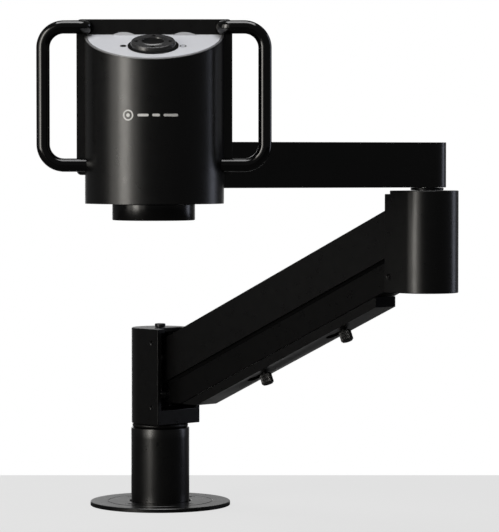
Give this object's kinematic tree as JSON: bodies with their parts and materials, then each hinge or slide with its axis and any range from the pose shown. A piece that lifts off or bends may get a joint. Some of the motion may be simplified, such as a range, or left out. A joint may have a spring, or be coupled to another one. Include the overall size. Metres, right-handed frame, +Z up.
{
  "type": "camera magnifier on a desk arm",
  "caption": "Camera reading head with two tube handles and a round control, carried by a folding beam and a spring-balanced parallelogram arm on a round desk flange.",
  "frame": {"origin": "centre of the desk flange's underside, on the column's axis", "axes": "+Z up from the desk, the head looks towards -Y, +X to the viewer's right"},
  "size_m": [0.3712, 0.5211, 0.4652],
  "materials": {
    "black_anodised": "black anodised, fine satin",
    "handle_tube": "black satin tube",
    "knob_metal": "black anodised, knurled",
    "black_plastic": "moulded satin black",
    "silver_panel": "silver-grey painted panel",
    "steel": "turned steel",
    "dark_steel": "black oxide steel",
    "bronze": "sintered bronze",
    "diffuser": "opal diffuser",
    "lens_glass": "coated glass",
    "circuit_board": "green solder mask"
  },
  "bodies": {
    "base": {"base_flange": "black_anodised", "flange_ring": "black_anodised", "flange_screw_1": "steel", "flange_screw_2": "steel", "flange_screw_3": "steel", "flange_screw_4": "steel", "column_tube": "black_anodised", "column_set_screw": "dark_steel", "column_bush_lower": "bronze", "column_bush_upper": "bronze", "column_washer": "black_plastic"},
    "turret": {"lower_bracket": "black_anodised", "swivel_shaft": "steel", "bracket_cap_screw": "dark_steel", "bracket_grub_upper": "dark_steel", "bracket_grub_lower": "dark_steel", "column_upper_pin": "dark_steel", "column_lower_pin": "dark_steel"},
    "upper_link": {"arm_cover": "black_anodised", "upper_link_column_end": "steel", "upper_link_knuckle_end": "steel", "gas_spring_cylinder": "dark_steel", "gas_spring_rod": "steel"},
    "lower_link": {"lower_channel": "black_anodised", "lower_link_column_end": "steel", "lower_link_knuckle_end": "steel"},
    "tray": {"cable_tray": "black_anodised"},
    "clamp_screw_1": {"thumbscrew_1": "knob_metal"},
    "clamp_screw_2": {"thumbscrew_2": "knob_metal"},
    "knuckle": {"knuckle_bracket": "black_anodised", "knuckle_upper_pin": "dark_steel", "knuckle_lower_pin": "dark_steel", "knuckle_shaft": "steel", "knuckle_washer": "steel", "knuckle_grub_screw": "dark_steel"},
    "beam": {"beam_tube": "black_anodised", "beam_duct_cover": "black_plastic"},
    "carrier": {"pan_block": "black_anodised", "pan_shaft": "steel", "pan_washer": "steel", "tilt_shaft": "steel"},
    "head": {"body_shell": "black_anodised", "top_panel": "silver_panel", "back_plate": "black_anodised", "bottom_plate": "black_anodised", "handle_left": "handle_tube", "handle_right": "handle_tube", "ring_light_housing": "black_anodised", "light_diffuser": "diffuser", "lens_barrel": "black_plastic", "front_lens": "lens_glass", "camera_module": "black_plastic", "control_board": "circuit_board", "rear_housing": "black_anodised", "tilt_yoke": "black_anodised", "tilt_spacer_left": "bronze", "tilt_spacer_right": "bronze"},
    "ring": {"control_ring": "black_plastic"},
    "button": {"centre_button": "black_plastic"}
  },
  "joints": [
    {"name": "base_swivel", "type": "hinge", "parent": "base", "child": "turret", "pos_m": [0, 0, 0.08], "axis": [0, 0, 1], "range_deg": [-175, 175]},
    {"name": "arm_lift", "type": "hinge", "parent": "turret", "child": "upper_link", "pos_m": [0.01278, -0.01296, 0.148], "axis": [-0.712, -0.7022, 0], "range_deg": [-21, 16]},
    {"name": "lower_link_pivot", "type": "hinge", "parent": "turret", "child": "lower_link", "pos_m": [0.01278, -0.01296, 0.112], "axis": [-0.712, -0.7022, 0], "range_deg": [-21, 16]},
    {"name": "knuckle_level", "type": "hinge", "parent": "upper_link", "child": "knuckle", "pos_m": [0.23781, -0.24115, 0.28868], "axis": [-0.712, -0.7022, 0], "range_deg": [-16, 21]},
    {"name": "tray_slide", "type": "slide", "parent": "lower_link", "child": "tray", "axis": [0.6429, -0.652, 0.4019], "range_m": [0, 0.0145]},
    {"name": "thumbscrew_turn_1", "type": "hinge", "parent": "lower_link", "child": "clamp_screw_1", "pos_m": [0.10427, -0.10574, 0.14039], "axis": [-0.2822, 0.2862, 0.9157], "continuous": true},
    {"name": "thumbscrew_turn_2", "type": "hinge", "parent": "lower_link", "child": "clamp_screw_2", "pos_m": [0.178, -0.1805, 0.18648], "axis": [-0.2822, 0.2862, 0.9157], "continuous": true},
    {"name": "beam_swivel", "type": "hinge", "parent": "knuckle", "child": "beam", "pos_m": [0.25059, -0.25411, 0.319], "axis": [0, 0, 1], "range_deg": [-150, 150]},
    {"name": "head_pan", "type": "hinge", "parent": "beam", "child": "carrier", "pos_m": [0.00808, -0.32964, 0.3625], "axis": [0, 0, 1], "range_deg": [-120, 20]},
    {"name": "head_tilt", "type": "hinge", "parent": "carrier", "child": "head", "pos_m": [0.00808, -0.32964, 0.405], "axis": [1, 0, 0], "range_deg": [-45, 8]},
    {"name": "zoom_ring_turn", "type": "hinge", "parent": "head", "child": "ring", "pos_m": [0.00808, -0.42074, 0.44109], "axis": [0, -0.3567, 0.9342], "range_deg": [-30, 30], "stiffness_Nm_per_rad": 0.06},
    {"name": "button_press", "type": "slide", "parent": "head", "child": "button", "axis": [0, 0.3567, -0.9342], "range_m": [0, 0.0015], "stiffness_N_per_m": 600}
  ],
  "couplings": [
    {"joint": "lower_link_pivot", "follows": "arm_lift", "ratio": 1},
    {"joint": "knuckle_level", "follows": "arm_lift", "ratio": -1}
  ]
}
